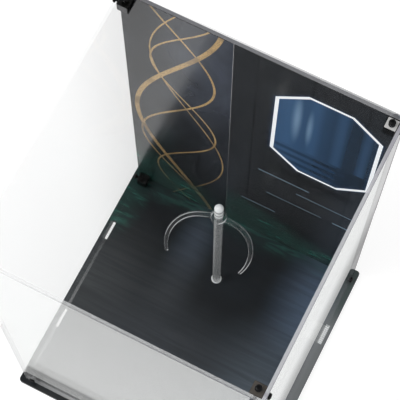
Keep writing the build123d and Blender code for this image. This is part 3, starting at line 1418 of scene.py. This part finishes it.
@dataclass
class CoverScrews:
    """Twenty button-head screws with hexagon sockets and cut threads, in five groups.

    Attributes:
        head_radius: The head's radius.
        head_height: The head's height.
        rim_height: The height of the head's upright rim.
        foot_round: The rounding of the head's lower edge.
        socket_width: The hexagon's width across corners.
        socket_depth: The hexagon's depth.
        thread_radius: The thread's outer radius.
        thread_depth: How deep the thread is cut.
        pitch: The thread's pitch.
        length: The shank's length.
        winding_steps: How many steps one turn of the thread has.
        turn_step: How much further each screw is turned than the one before, in radians.
    """

    head_radius: float = 2.75 * MM
    head_height: float = 2.1 * MM
    rim_height: float = 0.45 * MM
    foot_round: float = 0.12 * MM
    socket_width: float = 2.3 * MM
    socket_depth: float = 1.25 * MM
    thread_radius: float = 1.42 * MM
    thread_depth: float = 0.28 * MM
    pitch: float = 0.5 * MM
    length: float = 6.0 * MM
    winding_steps: int = 14
    turn_step: float = 2.4

    def head(self) -> bpy.types.Object:
        """Model the domed head with its hexagon socket.

        Returns:
            The head, standing on the origin.
        """
        head = Bench.cylinder("screw_head", sides=40, radius=self.head_radius, low=0, high=self.head_height)
        top = self.head_height * 0.99
        dome = self.head_height - self.rim_height
        with Bench.editing(head, Picked.EDGE, lambda edge: all(v.co.z > top for v in edge.verts)):
            bpy.ops.mesh.bevel(offset=dome, segments=7, profile=0.5, affect="EDGES")
        with Bench.editing(head, Picked.EDGE, lambda edge: all(v.co.z < 1e-6 for v in edge.verts)):
            bpy.ops.mesh.bevel(offset=self.foot_round, segments=2, profile=0.5, affect="EDGES")
        socket_floor = self.head_height - self.socket_depth
        cutter = Bench.cylinder(
            "hexagon", sides=6, radius=self.socket_width / 2, low=socket_floor, high=2 * self.head_height
        )
        cut = head.modifiers.new("socket", "BOOLEAN")
        cut.operation = "DIFFERENCE"
        cut.object = cutter
        Bench.apply(head)
        bpy.data.objects.remove(cutter)
        return head

    def shank(self) -> bpy.types.Object:
        """Model the threaded shank as one tooth wound down the axis.

        Returns:
            The shank, below the origin.
        """
        Bench.clear()
        bpy.ops.mesh.primitive_plane_add(size=1)
        shank = bpy.context.object
        shank.name = "screw_shank"
        root = self.thread_radius - self.thread_depth
        tooth = ((root, 0.0, 0.0), (self.thread_radius, 0.0, -self.pitch / 2), (root, 0.0, -self.pitch))
        shank.data.clear_geometry()
        shank.data.from_pydata(tooth, [(0, 1), (1, 2)], [])
        winding = shank.modifiers.new("thread", "SCREW")
        winding.axis = "Z"
        winding.steps = self.winding_steps
        winding.render_steps = self.winding_steps
        winding.screw_offset = -self.pitch
        winding.iterations = round(self.length / self.pitch)
        winding.use_merge_vertices = True
        Bench.apply(shank)
        with Bench.editing(shank, Picked.FACE, lambda face: True):
            bpy.ops.mesh.remove_doubles(threshold=1e-6)
            bpy.ops.mesh.normals_make_consistent(inside=False)
        return shank

    def build(self, material: bpy.types.Material) -> None:
        """Model one screw and set a copy at each cube and side.

        Args:
            material: The screws' finish.
        """
        pattern = self.head()
        Bench.take(pattern, self.shank())
        bpy.ops.object.join()
        Bench.smooth(pattern)
        Bench.dress(pattern, material)
        cubes = sorted(name for name in frame["nodes"] if name.startswith("cube_"))
        turn = 0.0
        for side in Side:
            copies = []
            low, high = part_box(side.sheet)
            face = max(low.dot(side.outward), high.dot(side.outward))
            for cube in (name for name in cubes if side.word in name.split("_")):
                middle = middle_of(cube)
                place = middle + side.outward * (face - middle.dot(side.outward))
                turn += self.turn_step
                spin = Quaternion((0, 0, 1), turn)
                aim = Vector((0, 0, 1)).rotation_difference(side.outward)
                copy = bpy.data.objects.new("screw", pattern.data.copy())
                copy.data.transform(Matrix.Translation(place) @ (aim @ spin).to_matrix().to_4x4())
                bpy.context.scene.collection.objects.link(copy)
                copies.append(copy)
            Bench.take(*copies)
            bpy.ops.object.join()
            group = copies[0]
            group.name = f"{side.word}_button_screws"
            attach(group, "cover")
            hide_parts(f"{side.word}_screws")
            log.info("%s: %d screws", group.name, len(copies))
        bpy.data.objects.remove(pattern)


@dataclass
class ClearSheets:
    """The four walls and the top panel, each a hair smaller than its solid, with softened edges.

    Attributes:
        hair: How far each side lies inside its solid, so that no two sheets share a face.
        soft_edge: The bevel along the cut edges.
    """

    hair: float = 0.06 * MM
    soft_edge: float = 0.15 * MM

    def sheet(self, node: str) -> bpy.types.Object:
        """Make one sheet from its solid.

        Args:
            node: The solid's node.

        Returns:
            The sheet.
        """
        sheet = Bench.merged_copy(node, f"clear_{node}")
        low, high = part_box(node)
        size = high - low
        scale = [(part - 2 * self.hair) / part for part in size]
        middle = (low + high) / 2
        shrink = Matrix.Diagonal((*scale, 1.0))
        sheet.data.transform(Matrix.Translation(middle) @ shrink @ Matrix.Translation(-middle))
        Bench.soften(sheet, self.soft_edge, segments=1, degrees=60)
        bpy.ops.object.shade_flat()
        return sheet

    def build(self) -> None:
        """Make, dress and set the five sheets."""
        # The back wall's and the top panel's cut edges are painted gray, darker than the other sheets' pale
        # edges: painted shade.
        gray = from_screen(98, 99, 104)
        mid_gray = from_screen(124, 126, 134)
        lilac = from_screen(245, 243, 252)
        finishes = {
            "front_wall": ClearSheet(
                "front_sheet", Across.Y, index=1.49, top_body=0.25, foot_body=0.8,
                fade=Fade(Across.X, -0.11, -0.06, 0.7),
            ),
            # The back wall's see-through tone darkens towards its foot: painted shade.
            "back_wall": ClearSheet(
                "back_sheet", Across.Y, index=1.05, top_body=0.98, foot_body=0.2, edge=gray,
                fade=Fade(Across.X, 0.12, -0.12, 0.93), painted_darkening=Fade(Across.Z, 0.36, 0.02), painted_darkening_tone=0.35,
            ),
            # The left wall turns gray towards the back: a painted reflection of the dark board.
            "left_wall": ClearSheet(
                "left_sheet", Across.X, index=1.06, top_body=0.1, foot_body=0.22,
                fade=Fade(Across.Y, 0.09, -0.09), painted_darkening=Fade(Across.Y, 0.01, 0.125),
            ),
            # The right wall mirrors darker towards the back: a painted reflection of the table's shadow
            # behind the case.
            "right_wall": ClearSheet(
                "right_sheet", Across.X, index=2.0, top_body=0.36, foot_body=0.3, edge=lilac,
                mirrored_shadow=Fade(Across.Y, 0.080, 0.086), smear=0.004,
            ),
            "top_panel": ClearSheet(
                "top_sheet", Across.Z, index=1.12, top_body=0.6, foot_body=0.6, edge=mid_gray,
                fade=Fade(Across.X, -0.12, 0.08), unseen=0.008,
            ),
        }
        for node, finish in finishes.items():
            sheet = self.sheet(node)
            Bench.dress(sheet, finish.material())
            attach(sheet, "cover")
            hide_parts(node)
            log.info("%s: %d faces", sheet.name, len(sheet.data.polygons))


@dataclass
class Cover:
    """The printed boards and the corner cubes, dressed on the solids."""

    def build(self) -> None:
        """Dress every board and cube of the cover."""
        finishes = {
            "backdrop_left": WaveBoardPrint("gold_wave_print", gloss=0.16),
            "backdrop_right": PanelBoardPrint("blue_panel_print", gloss=0.16),
        }
        for node, finish in finishes.items():
            Bench.dress(frame["nodes"][node], finish.material())
            log.info("%s: dressed", node)
        black = from_screen(7, 7, 7)
        plain = BlackAcrylic("black_acrylic", black, Across.Z, black).material()
        # Three cubes get painted reflections: paler faces where their gloss mirrors white, and the top front
        # right cube is painted brown all over, also a painted reflection.
        wear_and_reflection = {
            "cube_top_front_right": BlackAcrylic(
                "brown_painted_reflection_acrylic", from_screen(72, 68, 64), Across.Z, from_screen(84, 79, 74)
            ),
            "cube_top_back_left": BlackAcrylic(
                "front_painted_reflection_acrylic", black, Across.Y, from_screen(100, 100, 102)
            ),
            "cube_top_back_right": BlackAcrylic(
                "top_painted_reflection_acrylic", black, Across.Z, from_screen(202, 201, 200),
                tuple(middle_of("cube_top_back_right")),
            ),
        }
        for node in frame["nodes"]:
            if node.startswith("cube_"):
                Bench.dress(frame["nodes"][node], wear_and_reflection[node].material() if node in wear_and_reflection else plain)
                log.info("%s: dressed", node)


@dataclass
class BasePlate:
    """The printed base plate, dressed on its solid."""

    def build(self) -> None:
        """Dress the base plate."""
        finish = FloorPrint("cloudy_floor_print", gloss=0.2, mirror=0.12)
        Bench.dress(frame["nodes"]["base_plate"], finish.material())
        log.info("base_plate: dressed")


@dataclass
class Stand:
    """The clear stand: a domed pole, its bush in the base plate and the waist clip.

    Attributes:
        dome: The pole's rounding at its top.
        rim: The bush's rounding.
        soft_edge: The waist clip's rounding along its edges.
        clearance: The gap between the pole and the bush's bore.
    """

    dome: float = 3.4 * MM
    rim: float = 0.38 * MM
    soft_edge: float = 0.15 * MM
    clearance: float = 0.05 * MM

    def pole(self) -> bpy.types.Object:
        """Model the pole as a smooth rod with a rounded top.

        Returns:
            The pole.
        """
        low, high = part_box("pole")
        pole = Bench.cylinder("clear_pole", sides=96, radius=(high.x - low.x) / 2, low=low.z, high=high.z)
        top = high.z - 1e-5
        with Bench.editing(pole, Picked.EDGE, lambda edge: all(v.co.z > top for v in edge.verts)):
            bpy.ops.mesh.bevel(offset=self.dome, segments=14, profile=0.5, affect="EDGES")
        Bench.shift(pole, Vector(((low.x + high.x) / 2, (low.y + high.y) / 2, 0)))
        return pole

    def bush(self) -> bpy.types.Object:
        """Model the bush as a rounded cup.

        Returns:
            The bush.
        """
        low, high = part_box("pole_socket")
        pole_low, pole_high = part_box("pole")
        outside = (high.x - low.x) / 2
        wall = outside - (pole_high.x - pole_low.x) / 2 - self.clearance
        bush = Bench.cylinder("clear_bush", sides=96, radius=outside, low=low.z, high=high.z)
        top = high.z - 1e-5
        with Bench.editing(bush, Picked.FACE, lambda face: all(v.co.z > top for v in face.verts)):
            bpy.ops.mesh.inset(thickness=wall)
            bpy.ops.mesh.extrude_region_move(TRANSFORM_OT_translate={"value": (0, 0, pole_low.z - high.z)})

        def on_rim(edge: bmesh.types.BMEdge) -> bool:
            """Say whether an edge lies along the bush's rim."""
            return all(v.co.z > top for v in edge.verts) and edge.calc_length() < 1 * MM

        with Bench.editing(bush, Picked.EDGE, on_rim):
            bpy.ops.mesh.bevel(offset=self.rim, segments=5, profile=0.5, affect="EDGES")
        Bench.shift(bush, Vector(((low.x + high.x) / 2, (low.y + high.y) / 2, 0)))
        return bush

    def clip(self) -> bpy.types.Object:
        """Make the waist clip from its solid, merged, with softened edges.

        Returns:
            The waist clip.
        """
        clip = Bench.merged_copy("waist_clip", "clear_waist_clip")
        Bench.soften(clip, self.soft_edge, segments=2, degrees=30)
        return clip

    def build(self) -> None:
        """Model the stand's pieces and set them on their bodies."""
        plate = ClearPlate("clear_clip_plate", index=1.28, edge=0.12)
        for piece, node, body, finish in (
            (self.pole(), "pole", "stand", ClearMoulded("clear_pole_plastic")),
            # The bush's near-white haze is painted light: the white table's light seen through the clear
            # bush.
            (self.bush(), "pole_socket", "base", ClearMoulded("clear_bush_plastic", haze=0.95)),
            (self.clip(), "waist_clip", "clip", plate),
        ):
            Bench.smooth(piece)
            Bench.dress(piece, finish.material())
            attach(piece, body)
            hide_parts(node)
            log.info("%s: %d faces", piece.name, len(piece.data.polygons))


@dataclass
class Studio:
    """The table, the soft light and the camera.

    Attributes:
        camera_place: Where the camera stands.
        camera_target: The point on the table that it looks at.
        lens: Its focal length in millimetres, for a frame 36 mm wide.
        table_half: Half the table's width.
        plate_half: Half the base plate's width.
        close_start: Where the shadow beside the base plate, as the clear walls mirror it, is full.
        close_end: Where that shadow ends.
        front_shade: How dark that shadow is in front of the base plate.
        side_shade: How dark it is at the right of the base plate.
        light_aim: The way that all lamps shine.
        lamps: Each lamp's name, strength and width in degrees; the small one makes the highlights.
        table_share: How much of the table's tone comes from the lamps, and so shows the shadow.
        table_glow: How much of it is there without them.
        surroundings: How strongly the white surroundings light the object.
        sheets_deep: How many clear faces behind one another light passes straight through.
    """

    camera_place: tuple[float, float, float] = (170.963 * MM, -317.553 * MM, 1400.606 * MM)
    camera_target: tuple[float, float, float] = (-51.954 * MM, 119.596 * MM, 0.0)
    lens: float = 133.883
    table_half: float = 6.0
    close_start: float = 0.1285
    close_end: float = 0.1315
    plate_half: float = 0.1225
    front_shade: float = 0.42
    side_shade: float = 0.5
    light_aim: tuple[float, float, float] = (0.5, 0.35, -1.0)
    lamps: tuple[tuple[str, float, float], ...] = (("soft_light", 1.1, 40), ("small_light", 0.4, 9))
    table_share: float = 0.28
    table_glow: float = 0.84
    surroundings: float = 0.6
    sheets_deep: int = 32

    def camera(self) -> None:
        """Set up the camera."""
        data = bpy.data.cameras.new("camera")
        data.lens = self.lens
        data.sensor_width = 36.0
        data.clip_start = 0.05
        data.clip_end = 50.0
        camera = bpy.data.objects.new("camera", data)
        bpy.context.scene.collection.objects.link(camera)
        aim = Vector(self.camera_target) - Vector(self.camera_place)
        camera.location = self.camera_place
        camera.rotation_mode = "QUATERNION"
        camera.rotation_quaternion = aim.to_track_quat("-Z", "Y")
        bpy.context.scene.camera = camera

    def seen_share(self, wiring: Wiring) -> Socket:
        """Say which rays see the white surroundings: camera, mirror and glass rays.

        Args:
            wiring: The material's tree.

        Returns:
            The share, 0 or 1.
        """
        path = wiring.add("LightPath")
        mirrored = wiring.sum("MAXIMUM", path.outputs["Is Glossy Ray"], path.outputs["Is Transmission Ray"])
        return wiring.sum("MAXIMUM", path.outputs["Is Camera Ray"], mirrored)

    def mirrored_tone(self, wiring: Wiring) -> Socket:
        """Work out how bright the table is where the clear walls mirror it.

        Args:
            wiring: The material's tree.

        Returns:
            The brightness, less in front of the base plate and at its right.
        """
        x, y, _ = wiring.axes(wiring.place)
        blur = 1 * MM
        front = wiring.sum("MULTIPLY", wiring.step(y, -self.close_end, -self.close_start),
                           wiring.step(x, -self.plate_half - blur, -self.plate_half + blur))
        front = wiring.sum("MULTIPLY", front, wiring.step(x, self.plate_half + blur, self.plate_half - blur))
        side = wiring.sum("MULTIPLY", wiring.step(x, self.close_end, self.plate_half),
                          wiring.step(x, self.plate_half - blur, self.plate_half))
        shade = wiring.sum("MAXIMUM", wiring.sum("MULTIPLY", front, self.front_shade),
                           wiring.sum("MULTIPLY", side, self.side_shade))
        return wiring.sum("SUBTRACT", 1.0, shade)

    def table(self) -> None:
        """Make the plain white table, which shows as white and keeps a soft shadow."""
        Bench.clear()
        bpy.ops.mesh.primitive_plane_add(size=2 * self.table_half)
        table = bpy.context.object
        table.name = "table"
        wiring = Wiring("white_table")
        paper = wiring.grain(0.002, 3)
        tone = wiring.blend(paper, from_screen(236, 236, 236), from_screen(244, 244, 244))
        plain = wiring.shader("BsdfDiffuse", Color=tone)
        share = self.table_share
        shaded = wiring.shader("BsdfDiffuse", Color=(share, share, share, 1.0))
        mirror = wiring.shader("Emission", Color=WHITE, Strength=self.mirrored_tone(wiring))
        glow = wiring.shader("Emission", Color=WHITE, Strength=self.table_glow)
        lit = wiring.add("AddShader")
        wiring.feed(lit.inputs[0], shaded)
        wiring.feed(lit.inputs[1], glow)
        mirrored = wiring.add("LightPath").outputs["Is Glossy Ray"]
        seen = wiring.mix(mirrored, lit.outputs[0], mirror)
        Bench.dress(table, wiring.finish(wiring.mix(self.seen_share(wiring), plain, seen)))
        table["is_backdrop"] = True

    def light(self) -> None:
        """Set up the white surroundings and the lamps."""
        wiring = Wiring("studio", surroundings=True)
        seen = self.seen_share(wiring)
        strength = wiring.sum("MULTIPLY_ADD", seen, 1 - self.surroundings, self.surroundings)
        bpy.context.scene.world = wiring.finish(wiring.shader("Background", Strength=strength))
        for lamp in self.lamps:
            self.sun(*lamp)

    def sun(self, name: str, strength: float, degrees: float) -> None:
        """Hang one distant lamp.

        Args:
            name: The lamp's name.
            strength: How strong it is.
            degrees: How wide it is, and so how soft its shadows are.
        """
        data = bpy.data.lights.new(name, "SUN")
        data.energy = strength
        data.angle = math.radians(degrees)
        lamp = bpy.data.objects.new(name, data)
        bpy.context.scene.collection.objects.link(lamp)
        lamp.rotation_mode = "QUATERNION"
        lamp.rotation_quaternion = Vector(self.light_aim).to_track_quat("-Z", "Y")

    def build(self) -> None:
        """Set up the camera, table and light."""
        self.camera()
        self.table()
        self.light()
        scene = bpy.context.scene
        scene.view_settings.view_transform = "Standard"
        scene.cycles.transparent_max_bounces = self.sheets_deep
        log.info("studio: ready")


def corners() -> list[list[float]]:
    """Give the shown object's box as plain numbers.

    Returns:
        Its lowest and its highest corner.
    """
    return [[float(part) for part in corner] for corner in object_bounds()]


def main() -> None:
    """Build the display case and its studio."""
    logging.basicConfig(level=logging.INFO, format="%(name)s %(message)s")
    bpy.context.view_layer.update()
    Studio().build()
    BasePlate().build()
    ClearSheets().build()
    Cover().build()
    CoverScrews().build(BlackSteel("black_steel").material())
    Stand().build()


if __name__ == "__main__":
    main()
